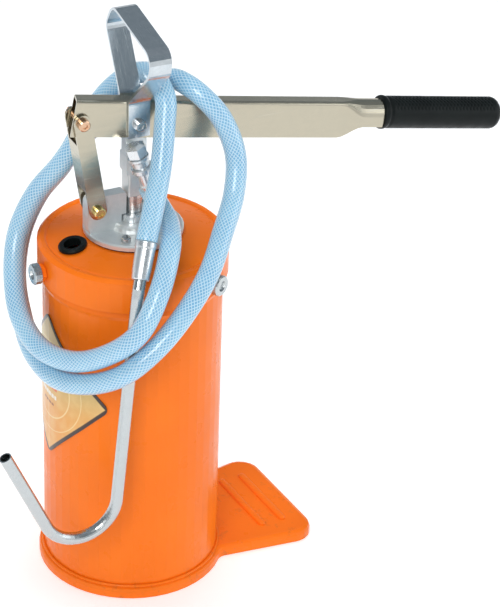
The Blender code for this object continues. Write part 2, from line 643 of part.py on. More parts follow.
def make_outlet():
    place = axis_place(OUTLET_TOP, OUTLET_AXIS)
    hexagon = lathe(((0.0, 1.0), (7.0, 1.0), (11.8, 3.4), (11.8, 14.5), (0.0, 14.5)), 6)
    elbow = finish("outlet_elbow", hexagon, "rod", "zinc_steel", place)
    neck = [(0.0, 10.0), (9.0, 10.0), (9.0, 15.6), (11.4, 16.4), (11.4, 19.4), (10.2, 20.6), (9.6, 21.4), (9.6, 28.0),
            (0.0, 28.0)]
    combine(elbow, finish("add_outlet_neck", lathe(neck, 24), "rod", None, place), "UNION")
    stub = axis_place((outlet_port_x(), -6.7, OUTLET_PORT_Z), (0.0, -1.0, 0.0))
    combine(elbow, finish("add_outlet_stub", rod_shape(6.0, 16.0, 20), "rod", None, stub), "UNION")
    nut = [(0.0, 28.3), (11.0, 28.3), (12.2, 29.3), (12.2, 34.0), (10.4, 35.6), (9.6, 35.6), (9.6, 36.6), (0.0, 36.6)]
    finish("hose_nut", lathe(nut, 24), "rod", "zinc_steel", place)
    tail = [(0.0, 36.9), (8.6, 36.9), (8.6, 50.0), (9.6, 52.0), (9.6, 57.0), (0.0, 57.0)]
    finish("hose_tail", lathe(tail, 24), "rod", "zinc_steel", place)


def handle_outline():
    """The strip's edge view in (y, z): out along one face and back along the other."""
    side = HANDLE_SIDE
    corners = [(-side, HANDLE_FOOT), (-side, HANDLE_SHOULDER)] + [c[:2] for c in HANDLE_ROUTE]
    corners += [(side, HANDLE_SHOULDER), (side, HANDLE_FOOT)]
    radii = [0.0, 14.0] + [c[2] for c in HANDLE_ROUTE] + [14.0, 0.0]
    line = [Vector(p) for p in rounded(corners, radii, 5)]
    left = []
    right = []
    for k, here in enumerate(line):
        before = (here - line[k - 1]).normalized() if k else (line[1] - here).normalized()
        after = (line[k + 1] - here).normalized() if k + 1 < len(line) else before
        across = Vector((-before.y - after.y, before.x + after.x)).normalized()
        reach = HANDLE_SHEET / 2.0 / across.dot(Vector((-after.y, after.x)))
        left.append(tuple(here + across * reach))
        right.append(tuple(here - across * reach))
    return left + right[::-1]


def make_handle():
    turn = Matrix(((0.0, 0.0, 1.0, 0.0), (1.0, 0.0, 0.0, 0.0), (0.0, 1.0, 0.0, 0.0), (0.0, 0.0, 0.0, 1.0)))
    strip = prism(handle_outline(), -HANDLE_HALF_WIDTH, HANDLE_HALF_WIDTH)
    handle = finish("carry_handle", strip, "rod", "zinc_steel", turn)
    combine(handle, pin_cutter("cut_handle_pin", ROD_PIN, "rod"), "DIFFERENCE")


def make_pin(name, centre, half, body, look):
    """A bolt along Y with its head at the front, and its nut at the back."""
    place = axis_place(centre - Vector((0.0, half + GAP, 0.0)), (0.0, 1.0, 0.0))
    r = PIN_R
    head = [(0.0, -4.2), (2.6, -4.2), (3.0, -5.6), (5.4, -5.6), (6.6, -4.6), (6.8, -1.2), (6.8, 0.0), (r, 0.0)]
    end = 2.0 * half + 2.0 * GAP + 7.5
    finish(name + "_bolt", lathe(head + [(r, end - 0.8), (r - 0.8, end), (0.0, end)], 18), body, look, place)
    seat = place @ Matrix.Translation((0.0, 0.0, 2.0 * half + 2.0 * GAP))
    make_nut(name + "_nut", 7.5, PIN_HOLE_R, 6.4, body, look, seat)


# ---------------------------------------------------------------- lever and link

def lever_place():
    """Carries (along, across, up) of the lever to the world: along its pins from the rod pin."""
    return Matrix.Translation(ROD_PIN) @ Matrix.Rotation(LEVER_DROP, 4, "Y")


def channel_section(half, top, bottom, corner, sheet):
    """An arch open below, as one closed outline of (across, up)."""
    outer = [(-half, bottom)] + arc((corner - half, top - corner), corner, math.pi, math.pi / 2.0, 5)
    outer += arc((half - corner, top - corner), corner, math.pi / 2.0, 0.0, 5) + [(half, bottom)]
    small = corner - sheet
    inner = [(sheet - half, bottom)] + arc((corner - half, top - corner), small, math.pi, math.pi / 2.0, 5)
    inner += arc((half - corner, top - corner), small, math.pi / 2.0, 0.0, 5) + [(half - sheet, bottom)]
    return outer + inner[::-1]


def make_lever():
    neck_half = TUBE_R + GAP + LEVER_SHEET
    stations = [(LEVER_START, 0.0), (NECK_START, 0.0)]
    for k in range(1, 5):
        share = k / 5.0
        stations.append((NECK_START + (NECK_END - NECK_START) * share, share * share * (3.0 - 2.0 * share)))
    stations += [(NECK_END, 1.0), (CHANNEL_END, 1.0)]
    bm = bmesh.new()
    rings = []
    for along, share in stations:
        half = LEVER_HALF_WIDTH + (neck_half - LEVER_HALF_WIDTH) * share
        top = LEVER_TOP + (TUBE_AXIS + neck_half - LEVER_TOP) * share
        bottom = LEVER_BOTTOM + (-1.5 - LEVER_BOTTOM) * share
        corner = 3.6 + (neck_half - 0.05 - 3.6) * share
        section = channel_section(half, top, bottom, corner, LEVER_SHEET)
        slant = LEVER_SLANT if along == LEVER_START else 0.0
        share_back = [0.5 + 0.5 * across / LEVER_HALF_WIDTH for across, up in section]
        rings.append([
            bm.verts.new((along + slant * back, across, up)) for back, (across, up) in zip(share_back, section)
        ])
    bm.faces.new(rings[0])
    bm.faces.new(rings[-1])
    for near, far in zip(rings, rings[1:]):
        for k in range(len(near)):
            after = (k + 1) % len(near)
            bm.faces.new((near[k], near[after], far[after], far[k]))
    channel = finish("lever_channel", bm, "lever", "zinc_steel", lever_place())
    combine(channel, pin_cutter("cut_lever_pin", ROD_PIN, "lever"), "DIFFERENCE")
    combine(channel, pin_cutter("cut_lever_link", LINK_HEAD, "lever"), "DIFFERENCE")
    along = lever_place() @ Matrix.Translation((0.0, 0.0, TUBE_AXIS)) @ Matrix.Rotation(math.pi / 2.0, 4, "Y")
    tube = [(TUBE_R - 2.0, NECK_END + 1.0), (TUBE_R, NECK_END + 1.0), (TUBE_R, TUBE_END), (TUBE_R - 2.0, TUBE_END)]
    finish("lever_tube", lathe(tube, 20), "lever", "zinc_steel", along)
    bore = TUBE_R + GAP
    grip = [(0.0, GRIP_LENGTH), (8.0, GRIP_LENGTH - 0.6), (14.5, GRIP_LENGTH - 3.5), (18.4, GRIP_LENGTH - 9.0),
            (18.6, 125.0), (18.0, 9.0), (17.6, 7.0), (19.2, 5.2), (19.2, 1.8), (17.8, 0.0),
            (bore, 0.0), (bore, TUBE_END - GRIP_START + GAP), (0.0, TUBE_END - GRIP_START + GAP)]
    sleeve = along @ Matrix.Translation((0.0, 0.0, GRIP_START))
    finish("lever_grip", lathe(grip, 24), "lever", "rubber", sleeve)


def make_link():
    run = LINK_HEAD - LINK_FOOT
    length = run.length
    w = LINK_HALF_WIDTH
    lean = math.atan2(run.x, run.z)
    stand = Matrix.Translation(LINK_FOOT) @ Matrix.Rotation(lean, 4, "Y")
    upright = stand @ Matrix.Rotation(math.pi / 2.0, 4, "X")
    outline = arc((0.0, 0.0), w, math.pi, 2.0 * math.pi, 8) + arc((0.0, length), w, 0.0, math.pi, 8)
    inside = LINK_INSIDE
    outside = LINK_INSIDE + LINK_SHEET
    front = finish("link", prism(outline, inside, outside), "link", "zinc_steel", upright)
    combine(front, finish("add_link_back", prism(outline, -outside, -inside), "link", None, upright), "UNION")
    web = rounded(((-w, 27.0), (-w + LINK_SHEET, 27.0), (-w + LINK_SHEET, 86.0), (-w, 86.0)), (0.0, 0.0, 0.0, 0.0))
    combine(front, finish("add_link_web", prism(web, -outside + 0.5, outside - 0.5), "link", None, upright), "UNION")
    combine(front, pin_cutter("cut_link_head", LINK_HEAD, "link"), "DIFFERENCE")
    combine(front, pin_cutter("cut_link_foot", LINK_FOOT, "link"), "DIFFERENCE")
    make_pin("link_head", LINK_HEAD, outside, "link", "yellow_zinc")
    make_pin("link_foot", LINK_FOOT, outside, "link", "yellow_zinc")


# ---------------------------------------------------------------- hose and spout

def make_hose():
    ferrule_start = FERRULE_TOP - FERRULE_AXIS * GAP
    lead_in = HOSE_START + OUTLET_AXIS * 5.0
    lead_out = ferrule_start - FERRULE_AXIS * 9.0
    knots = [lead_in] + list(HOSE_ROUTE) + [lead_out]
    curve = smooth_path(knots, OUTLET_AXIS, FERRULE_AXIS, HOSE_POINTS - 2, HOSE_BEND_WEIGHT)
    path = [HOSE_START] + curve + [ferrule_start]
    tube_curve("hose", path, HOSE_R, 2, "rod", "pvc_hose")
    place = axis_place(FERRULE_TOP, FERRULE_AXIS)
    crimp = [(0.0, 0.0), (10.6, 0.0), (11.4, 1.0), (11.4, 6.0), (10.9, 8.0), (10.4, 30.0), (9.6, FERRULE_LENGTH - 1.0),
             (8.6, FERRULE_LENGTH), (0.0, FERRULE_LENGTH)]
    finish("hose_ferrule", lathe(crimp, 40), "rod", "zinc_steel", place)


def spout_ring(bm, centre, along, across, radius):
    side = along.cross(across)
    turns = [2.0 * math.pi * k / SPOUT_SIDES for k in range(SPOUT_SIDES)]
    return [bm.verts.new(centre + (across * math.cos(a) + side * math.sin(a)) * radius) for a in turns]


def make_spout():
    """A J tube: from the ferrule it turns down, runs straight, and bends up to its open tip."""
    start = FERRULE_TOP + FERRULE_AXIS * (FERRULE_LENGTH + GAP)
    down = Vector((-math.sin(SPOUT_LEAN), 0.0, -math.cos(SPOUT_LEAN)))
    left = Vector((-math.cos(SPOUT_LEAN), 0.0, math.sin(SPOUT_LEAN)))
    top = SPOUT_KNEE - down * 215.0
    neck = smooth_path([start, start + FERRULE_AXIS * 8.0, top, top + down * 20.0], FERRULE_AXIS, down, 9)
    points = neck + [SPOUT_KNEE]
    centre = SPOUT_KNEE + left * SPOUT_BEND_R
    steps = 20
    for k in range(1, steps + 1):
        turn = SPOUT_TURN * k / steps
        points.append(centre - left * SPOUT_BEND_R * math.cos(turn) + down * SPOUT_BEND_R * math.sin(turn))
    heading = left * math.sin(SPOUT_TURN) + down * math.cos(SPOUT_TURN)
    points.append(points[-1] + heading * SPOUT_TIP)
    bm = bmesh.new()
    across = FERRULE_AXIS.orthogonal().normalized()
    rings = []
    for k, point in enumerate(points):
        along = (points[min(k + 1, len(points) - 1)] - points[max(k - 1, 0)]).normalized() if k else FERRULE_AXIS
        across = (across - along * across.dot(along)).normalized()
        rings.append(spout_ring(bm, point, along, across, SPOUT_R))
    rings.append(spout_ring(bm, points[-1], heading, across, SPOUT_BORE_R))
    rings.append(spout_ring(bm, points[-1] - heading * SPOUT_BORE_DEPTH, heading, across, SPOUT_BORE_R))
    for near, far in zip(rings, rings[1:]):
        for k in range(SPOUT_SIDES):
            after = (k + 1) % SPOUT_SIDES
            bm.faces.new((near[k], near[after], far[after], far[k]))
    bm.faces.new(rings[0])
    bm.faces.new(rings[-1])
    finish("spout_tube", bm, "rod", "bright_steel")


def main():
    clear_scene()
    make_empties()
    make_base()
    make_tank()
    make_label()
    make_lid()
    make_grommet()
    make_clamps()
    make_head()
    make_barrel()
    make_rod()
    make_yoke()
    make_outlet()
    make_handle()
    make_pin("rod_pin", ROD_PIN, HANDLE_SIDE + HANDLE_SHEET / 2.0, "rod", "bright_steel")
    make_lever()
    make_link()
    make_hose()
    make_spout()


main()
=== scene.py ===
"""Looks of the gear oil pump: camera, materials, braided hose, label, grip, weld bead, stage and lights.

Everything is in metres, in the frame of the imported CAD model, whose origin is on the tank's axis at floor level.
The hose's route is the one that part.py draws.
"""

import math

import bmesh
import bpy
from mathutils import Matrix, Vector


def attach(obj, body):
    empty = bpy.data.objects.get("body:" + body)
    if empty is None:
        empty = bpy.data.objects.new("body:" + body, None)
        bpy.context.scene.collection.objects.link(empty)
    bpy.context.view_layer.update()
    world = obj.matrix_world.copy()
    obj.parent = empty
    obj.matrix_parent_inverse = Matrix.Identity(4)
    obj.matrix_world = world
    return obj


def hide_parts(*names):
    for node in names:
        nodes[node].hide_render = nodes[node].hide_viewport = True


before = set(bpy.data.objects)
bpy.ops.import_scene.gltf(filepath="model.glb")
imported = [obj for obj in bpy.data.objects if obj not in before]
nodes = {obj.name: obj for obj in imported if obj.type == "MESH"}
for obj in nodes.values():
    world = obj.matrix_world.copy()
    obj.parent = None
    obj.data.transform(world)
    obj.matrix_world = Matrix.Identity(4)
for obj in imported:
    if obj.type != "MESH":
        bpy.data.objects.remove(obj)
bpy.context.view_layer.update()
scene = bpy.context.scene

# ---------------------------------------------------------------- camera

CAMERA_PLACE = Vector((-1.09963, -2.46851, 1.92272))
CAMERA_RIGHT = Vector((0.89992, -0.43509, 0.02889))
CAMERA_UP = Vector((0.19867, 0.46809, 0.86106))
CAMERA_BACK = Vector((-0.38817, -0.76915, 0.50768))
SENSOR = 36.0  # millimetres, as is the lens
LENS = 167.26
CLIP = (0.05, 60.0)


def make_camera():
    data = bpy.data.cameras.new("camera")
    data.sensor_fit = "AUTO"
    data.sensor_width = SENSOR
    data.lens = LENS
    data.clip_start, data.clip_end = CLIP
    camera = bpy.data.objects.new("camera", data)
    scene.collection.objects.link(camera)
    columns = [(*CAMERA_RIGHT, 0.0), (*CAMERA_UP, 0.0), (*CAMERA_BACK, 0.0), (*CAMERA_PLACE, 1.0)]
    camera.matrix_world = Matrix(columns).transposed()
    scene.camera = camera


# ---------------------------------------------------------------- shader helpers

class Shader:
    """A node material built around one Principled shader, with short ways to add what drives it."""

    def __init__(self, name, **values):
        self.mat = bpy.data.materials.new(name)
        self.mat.use_nodes = True
        self.tree = self.mat.node_tree
        self.principled = self.tree.nodes["Principled BSDF"]
        for key, value in values.items():
            self.feed(self.principled.inputs[key.replace("_", " ")], value)
        self.place = self.node("ShaderNodeTexCoord").outputs["Object"]

    def node(self, kind, **settings):
        made = self.tree.nodes.new(kind)
        for key, value in settings.items():
            setattr(made, key, value)
        return made

    def link(self, source, target):
        self.tree.links.new(source, target)

    def feed(self, socket, value):
        if isinstance(value, bpy.types.NodeSocket):
            self.link(value, socket)
        elif isinstance(value, tuple) and len(value) == 3 and socket.type == "RGBA":
            socket.default_value = (*value, 1.0)
        else:
            socket.default_value = value

    def drive(self, name, source):
        self.link(source, self.principled.inputs[name])

    def math(self, operation, *values):
        made = self.node("ShaderNodeMath", operation=operation)
        for socket, value in zip(made.inputs, values):
            self.feed(socket, value)
        return made.outputs[0]

    def split(self, vector):
        made = self.node("ShaderNodeSeparateXYZ")
        self.link(vector, made.inputs[0])
        return made.outputs

    def stretched(self, scale):
        made = self.node("ShaderNodeMapping")
        self.link(self.place, made.inputs["Vector"])
        made.inputs["Scale"].default_value = scale
        return made.outputs[0]

    def noise(self, scale, detail=3.0, place=None, roughness=0.5):
        made = self.node("ShaderNodeTexNoise")
        self.link(place or self.place, made.inputs["Vector"])
        made.inputs["Scale"].default_value = scale
        made.inputs["Detail"].default_value = detail
        made.inputs["Roughness"].default_value = roughness
        return made.outputs[0]

    def cells(self, scale, place=None):
        made = self.node("ShaderNodeTexVoronoi")
        self.link(place or self.place, made.inputs["Vector"])
        made.inputs["Scale"].default_value = scale
        return made.outputs["Color"]

    def ramp(self, factor, low, high, out_low=0.0, out_high=1.0):
        made = self.node("ShaderNodeMapRange", interpolation_type="SMOOTHSTEP")
        for socket, value in zip(made.inputs, (factor, low, high, out_low, out_high)):
            self.feed(socket, value)
        return made.outputs[0]

    def mix(self, factor, first, second):
        made = self.node("ShaderNodeMix", data_type="RGBA")
        self.feed(made.inputs[0], factor)
        self.feed(made.inputs[6], first)
        self.feed(made.inputs[7], second)
        return made.outputs[2]

    def bump(self, height, strength, distance, under=None):
        made = self.node("ShaderNodeBump")
        made.inputs["Strength"].default_value = strength
        made.inputs["Distance"].default_value = distance
        self.link(height, made.inputs["Height"])
        if under is not None:
            self.link(under, made.inputs["Normal"])
        return made.outputs[0]


# ---------------------------------------------------------------- materials

ORANGE = (0.98, 0.198, 0.009)
ORANGE_DEEP = (0.93, 0.178, 0.007)
ORANGE_PALE = (1.0, 0.24, 0.02)


def orange_paint():
    """Glossy powder coat: orange peel, faint patches, and dust and scuffs down by the floor."""
    s = Shader("orange_paint", Coat_Weight=0.14, Coat_Roughness=0.08, Specular_IOR_Level=0.15)
    patches = s.noise(9.0, 4.0)
    colour = s.mix(s.ramp(patches, 0.35, 0.65), ORANGE_DEEP, ORANGE)
    specks = s.ramp(s.noise(420.0, 2.0), 0.68, 0.74)
    colour = s.mix(s.math("MULTIPLY", specks, 0.25), colour, ORANGE_PALE)
    height = s.split(s.place)[2]
    low = s.ramp(height, 0.0, 0.03, 1.0, 0.0)
    scuffs = s.ramp(s.noise(60.0, 6.0, None, 0.7), 0.56, 0.66)
    colour = s.mix(s.math("MULTIPLY", s.math("MULTIPLY", low, scuffs), 0.45), colour, (0.42, 0.13, 0.04))
    s.drive("Base Color", colour)
    s.drive("Roughness", s.ramp(s.noise(35.0, 4.0), 0.3, 0.7, 0.26, 0.38))
    s.drive("Normal", s.bump(s.noise(330.0, 1.5), 0.07, 0.0003))
    return s.mat


def zinc(name, colour, shade, roughness, grain, patch, relief, metal=1.0):
    """Bright zinc plate: drawn grain, mottled patches a few millimetres wide, and fine scratches.

    Grain is the noise's scale along X, Y and Z. Patch is how strong the mottling is, relief how strong the bump
    is, and metal the metallic value, which is under 1 where the plate is dull.
    """
    s = Shader(name, Metallic=metal)
    mottle = s.split(s.cells(240.0))[0]
    cloud = s.noise(70.0, 4.0)
    blend = s.math("MULTIPLY", s.math("ADD", s.math("MULTIPLY", mottle, 0.5), cloud), patch)
    base = s.mix(blend, colour, shade)
    lines = s.noise(1.0, 5.0, s.stretched(grain), 0.65)
    scratches = s.ramp(s.noise(1.0, 2.0, s.stretched((grain[1], grain[0] * 2.0, grain[2]))), 0.70, 0.76)
    base = s.mix(s.math("MULTIPLY", scratches, 0.25), base, (0.90, 0.90, 0.90))
    s.drive("Base Color", base)
    s.drive("Roughness", s.ramp(lines, 0.25, 0.75, roughness - 0.05, roughness + 0.06))
    s.drive("Normal", s.bump(lines, relief, 0.0002, s.bump(cloud, relief, 0.0004)))
    return s.mat


def turned(name, colour, shade, roughness):
    """Machined or drawn round metal: fine rings with height, and slight staining."""
    s = Shader(name, Metallic=1.0)
    rings = s.noise(1.0, 3.0, s.stretched((30.0, 30.0, 2200.0)))
    stain = s.ramp(s.noise(55.0, 5.0), 0.35, 0.7)
    s.drive("Base Color", s.mix(s.math("MULTIPLY", stain, 0.6), colour, shade))
    s.drive("Roughness", s.ramp(rings, 0.3, 0.7, roughness - 0.05, roughness + 0.08))
    s.drive("Normal", s.bump(rings, 0.03, 0.0002))
    return s.mat


def rubber(name, colour, roughness):
    s = Shader(name, Specular_IOR_Level=0.16)
    cloud = s.noise(45.0, 4.0)
    s.drive("Base Color", s.mix(s.ramp(cloud, 0.3, 0.7), colour, tuple(c * 1.4 for c in colour)))
    s.drive("Roughness", s.ramp(s.noise(140.0, 3.0), 0.3, 0.7, roughness - 0.08, roughness + 0.10))
    s.drive("Normal", s.bump(s.noise(1500.0, 2.0), 0.22, 0.0002))
    return s.mat


BRAID_THREADS = 18.0
BRAID_TURNS = 190.0  # threads passed per metre of hose
THREAD_CORE, THREAD_EDGE = 0.10, 0.20
THREAD_SHOWS = 0.75


def braided_vinyl():
    """Clear blue vinyl over a white diamond braid of threads that cross in two spirals."""
    s = Shader(
        "pvc_hose", Coat_Weight=0.9, Coat_Roughness=0.10, Coat_IOR=1.45, Specular_IOR_Level=0.5,
        Subsurface_Weight=0.25, Subsurface_Radius=(0.6, 0.9, 1.0), Subsurface_Scale=0.004,
    )
    along, around, _ = s.split(s.node("ShaderNodeUVMap", uv_map="run").outputs[0])
    turn = s.math("MULTIPLY", around, BRAID_THREADS)
    run = s.math("MULTIPLY", along, BRAID_TURNS)
    first = s.math("PINGPONG", s.math("ADD", turn, run), 0.5)
    second = s.math("PINGPONG", s.math("SUBTRACT", turn, run), 0.5)
    spirals = [s.ramp(spiral, THREAD_CORE, THREAD_EDGE, 1.0, 0.0) for spiral in (first, second)]
    threads = s.math("MAXIMUM", *spirals)
    cloud = s.ramp(s.noise(30.0, 3.0), 0.3, 0.7)
    vinyl = s.mix(cloud, (0.16, 0.42, 0.66), (0.21, 0.49, 0.71))
    s.drive("Base Color", s.mix(s.math("MULTIPLY", threads, THREAD_SHOWS), vinyl, (0.66, 0.82, 0.90)))
    s.drive("Roughness", s.ramp(threads, 0.0, 1.0, 0.30, 0.42))
    s.drive("Normal", s.bump(threads, 0.25, 0.0003))
    return s.mat


def label_print():
    """A plain foil sticker: dark border, gold above and orange below, thin rings and bars, no lettering."""
    s = Shader("label_print", Coat_Weight=0.5, Coat_Roughness=0.15, Specular_IOR_Level=0.4)
    run, rise, _ = s.split(s.node("ShaderNodeUVMap", uv_map="sheet").outputs[0])
    level = s.math("MULTIPLY", s.math("ADD", run, rise), 0.5)
    sweep = s.math("MULTIPLY", s.math("SUBTRACT", run, rise), 0.5)
    fill = s.mix(s.ramp(level, -0.45, 0.25), (0.83, 0.36, 0.07), (0.66, 0.47, 0.17))
    fill = s.mix(s.math("MULTIPLY", s.ramp(s.noise(60.0, 4.0), 0.4, 0.7), 0.35), fill, (0.88, 0.62, 0.25))
    reach = s.math("SQRT", s.math("ADD", s.math("MULTIPLY", sweep, sweep), s.math("MULTIPLY", level, level)))
    for radius, thick in ((0.44, 0.012), (0.62, 0.008)):
        ring = s.ramp(s.math("ABSOLUTE", s.math("SUBTRACT", reach, radius)), thick * 0.5, thick, 0.55, 0.0)
        fill = s.mix(ring, fill, (0.95, 0.78, 0.42))
    cross = s.ramp(s.math("ABSOLUTE", sweep), 0.004, 0.009, 0.5, 0.0)
    fill = s.mix(cross, fill, (0.95, 0.80, 0.48))
    for place, half, width, colour in (
        (0.17, 0.030, 0.50, (0.62, 0.07, 0.02)), (0.02, 0.048, 0.42, (0.80, 0.10, 0.03)),
        (-0.12, 0.030, 0.38, (0.90, 0.86, 0.78)), (-0.24, 0.018, 0.26, (0.30, 0.08, 0.03)),
    ):
        tall = s.ramp(s.math("ABSOLUTE", s.math("SUBTRACT", level, place)), half * 0.85, half, 1.0, 0.0)
        wide = s.ramp(s.math("ABSOLUTE", sweep), width * 0.5, width * 0.52, 1.0, 0.0)
        beat = s.ramp(s.math("PINGPONG", s.math("MULTIPLY", sweep, 14.0), 0.5), 0.06, 0.14)
        bar = s.math("MULTIPLY", s.math("MULTIPLY", tall, wide), s.math("MULTIPLY", beat, 0.85))
        fill = s.mix(bar, fill, colour)
    far = s.math("MAXIMUM", s.math("ABSOLUTE", run), s.math("ABSOLUTE", rise))
    s.drive("Base Color", s.mix(s.ramp(far, 0.925, 0.945), fill, (0.035, 0.014, 0.008)))
    s.drive("Roughness", s.ramp(s.noise(90.0, 3.0), 0.3, 0.7, 0.32, 0.46))
    s.drive("Normal", s.bump(s.noise(180.0, 2.0), 0.06, 0.0003))
    return s.mat


def floor_paper():
    """White paper that glows a little, so the floor stays white where the lights fall off."""
    s = Shader(
        "floor_paper", Roughness=0.9, Specular_IOR_Level=0.1,
        Emission_Color=(1.0, 1.0, 1.0), Emission_Strength=0.30,
    )
    s.drive("Base Color", s.mix(s.noise(3.0, 2.0), (0.93, 0.93, 0.93), (0.95, 0.95, 0.95)))
    return s.mat


# ---------------------------------------------------------------- mesh helpers

def add_mesh(name, bm, mat, flat_angle=35.0):
    bmesh.ops.recalc_face_normals(bm, faces=bm.faces)
    mesh = bpy.data.meshes.new(name)
    bm.to_mesh(mesh)
    bm.free()
    mesh.materials.append(mat)
    mesh.shade_smooth()
    mesh.set_sharp_from_angle(angle=math.radians(flat_angle))
    made = bpy.data.objects.new(name, mesh)
    scene.collection.objects.link(made)
    return made


def grid_of_rings(bm, rings):
    """Bridges rings of vertices one after another, each closed on itself."""
    faces = []
    for near, far in zip(rings, rings[1:]):
        for k in range(len(near)):
            after = (k + 1) % len(near)
            faces.append(bm.faces.new((near[k], near[after], far[after], far[k])))
    return faces


def tube(name, path, radius, sides, mat, uv_name):
    """A round bar along a path, with a UV layer of the metres run and the part of a turn."""
    bm = bmesh.new()
    tangents = []
    for k in range(len(path)):
        ahead = path[min(k + 1, len(path) - 1)]
        behind = path[max(k - 1, 0)]
        tangents.append((ahead - behind).normalized())
    across = tangents[0].orthogonal().normalized()
    turns = [2.0 * math.pi * n / sides for n in range(sides)]
    rings = []
    for k, (point, tangent) in enumerate(zip(path, tangents)):
        if k:
            across = tangents[k - 1].rotation_difference(tangent) @ across
            across = (across - tangent * across.dot(tangent)).normalized()
        side = tangent.cross(across)
        rings.append([
            bm.verts.new(point + (across * math.cos(a) + side * math.sin(a)) * radius) for a in turns
        ])
    faces = grid_of_rings(bm, rings)
    bm.faces.new(rings[0])
    bm.faces.new(rings[-1])
    layer = bm.loops.layers.uv.new(uv_name)
    runs = [0.0]
    for near, far in zip(path, path[1:]):
        runs.append(runs[-1] + (far - near).length)
    for number, face in enumerate(faces):
        row, column = divmod(number, sides)
        corners = ((row, column), (row, column + 1), (row + 1, column + 1), (row + 1, column))
        for loop, (k, n) in zip(face.loops, corners):
            loop[layer].uv = (runs[k], n / sides)
    return add_mesh(name, bm, mat)


def smooth_path(knots, start_dir, end_dir, steps):
    """Points along a centripetal Catmull-Rom curve through the knots, as part.py draws the hose."""
    first = knots[0] - start_dir * (knots[1] - knots[0]).length
    last = knots[-1] + end_dir * (knots[-1] - knots[-2]).length
    chain = [first] + knots + [last]
    path = [knots[0]]
    for a, b, c, d in zip(chain, chain[1:], chain[2:], chain[3:]):
        t1 = math.sqrt((b - a).length)
        t2 = t1 + math.sqrt((c - b).length)
        t3 = t2 + math.sqrt((d - c).length)
        for step in range(1, steps + 1):
            t = t1 + (t2 - t1) * step / steps
            ab = a.lerp(b, t / t1)
            bc = b.lerp(c, (t - t1) / (t2 - t1))
            cd = c.lerp(d, (t - t2) / (t3 - t2))
            abc = ab.lerp(bc, t / t2)
            bcd = bc.lerp(cd, (t - t1) / (t3 - t1))
            path.append(abc.lerp(bcd, (t - t1) / (t2 - t1)))
    return path


# ---------------------------------------------------------------- hose

GAP = 0.0003
HOSE_DIAMETER = 0.0235
HOSE_SIDES = 24
HOSE_STEPS = 9
LEAD_IN = 0.005
LEAD_OUT = 0.009
OUTLET_TOP = Vector((-0.0115, -0.025, 0.541))
OUTLET_AXIS = Vector((0.30, -0.06, -0.952)).normalized()
FITTING_LENGTH = 0.0573
HOSE_START = OUTLET_TOP + OUTLET_AXIS * FITTING_LENGTH
FERRULE_TOP = Vector((-0.0264, -0.094, 0.4599))
FERRULE_AXIS = Vector((-0.379, -0.474, -0.794)).normalized()
HOSE_ROUTE = (
    # under the fitting, over the front of the lid, and down past its rim
    (0.013, -0.038, 0.468), (0.014, -0.060, 0.459), (0.007, -0.082, 0.455), (-0.003, -0.103, 0.450),
    (-0.027, -0.131, 0.419), (-0.055, -0.140, 0.378),
    # the inner loop, round the left of the tank and up behind the link
    (-0.083, -0.117, 0.345), (-0.107, -0.082, 0.324), (-0.126, -0.039, 0.321), (-0.132, 0.004, 0.338),
    (-0.125, 0.040, 0.370), (-0.110, 0.064, 0.409), (-0.088, 0.065, 0.452), (-0.064, 0.054, 0.487),
    (-0.040, 0.046, 0.523), (-0.009, 0.038, 0.547),
    # over the lever beside the handle, and down in front
    (0.017, 0.034, 0.560), (0.040, 0.028, 0.573), (0.051, 0.016, 0.587), (0.058, -0.008, 0.590),
    (0.071, -0.026, 0.579), (0.087, -0.037, 0.556), (0.097, -0.051, 0.518), (0.088, -0.068, 0.481),
    (0.064, -0.092, 0.450), (0.037, -0.117, 0.420), (0.004, -0.134, 0.390),
    # the outer loop, below and behind the inner one
    (-0.033, -0.143, 0.359), (-0.069, -0.136, 0.329), (-0.096, -0.104, 0.305), (-0.117, -0.062, 0.294),
    (-0.125, -0.017, 0.302), (-0.122, 0.025, 0.324), (-0.115, 0.060, 0.356), (-0.099, 0.083, 0.396),
    (-0.076, 0.088, 0.438), (-0.052, 0.078, 0.474), (-0.032, 0.072, 0.512), (-0.011, 0.066, 0.550),
    # over the lever again, closer to the handle, and down to the spout's ferrule
    (0.004, 0.058, 0.571), (0.019, 0.041, 0.589), (0.027, 0.019, 0.597), (0.027, -0.004, 0.596),
    (0.026, -0.023, 0.584), (0.0205, -0.034, 0.563), (0.008, -0.053, 0.522), (-0.011, -0.076, 0.487),
)


def make_hose(mat):
    end = FERRULE_TOP - FERRULE_AXIS * GAP
    knots = [HOSE_START + OUTLET_AXIS * LEAD_IN]
    knots += [Vector(point) for point in HOSE_ROUTE]
    knots += [end - FERRULE_AXIS * LEAD_OUT]
    path = [HOSE_START] + smooth_path(knots, OUTLET_AXIS, FERRULE_AXIS, HOSE_STEPS) + [end]
    hose = tube("hose_braided", path, HOSE_DIAMETER / 2.0, HOSE_SIDES, mat, "run")
    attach(hose, "rod")
    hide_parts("hose")


# ---------------------------------------------------------------- label

LABEL_HEIGHT = 0.2478
LABEL_HALF = 0.046
LABEL_CORNER = 0.0065
LABEL_RADII = (0.1006, 0.1012)
TANK_RADIUS = 0.1
STRIP_WIDTH = 0.002
STRIPS = 30


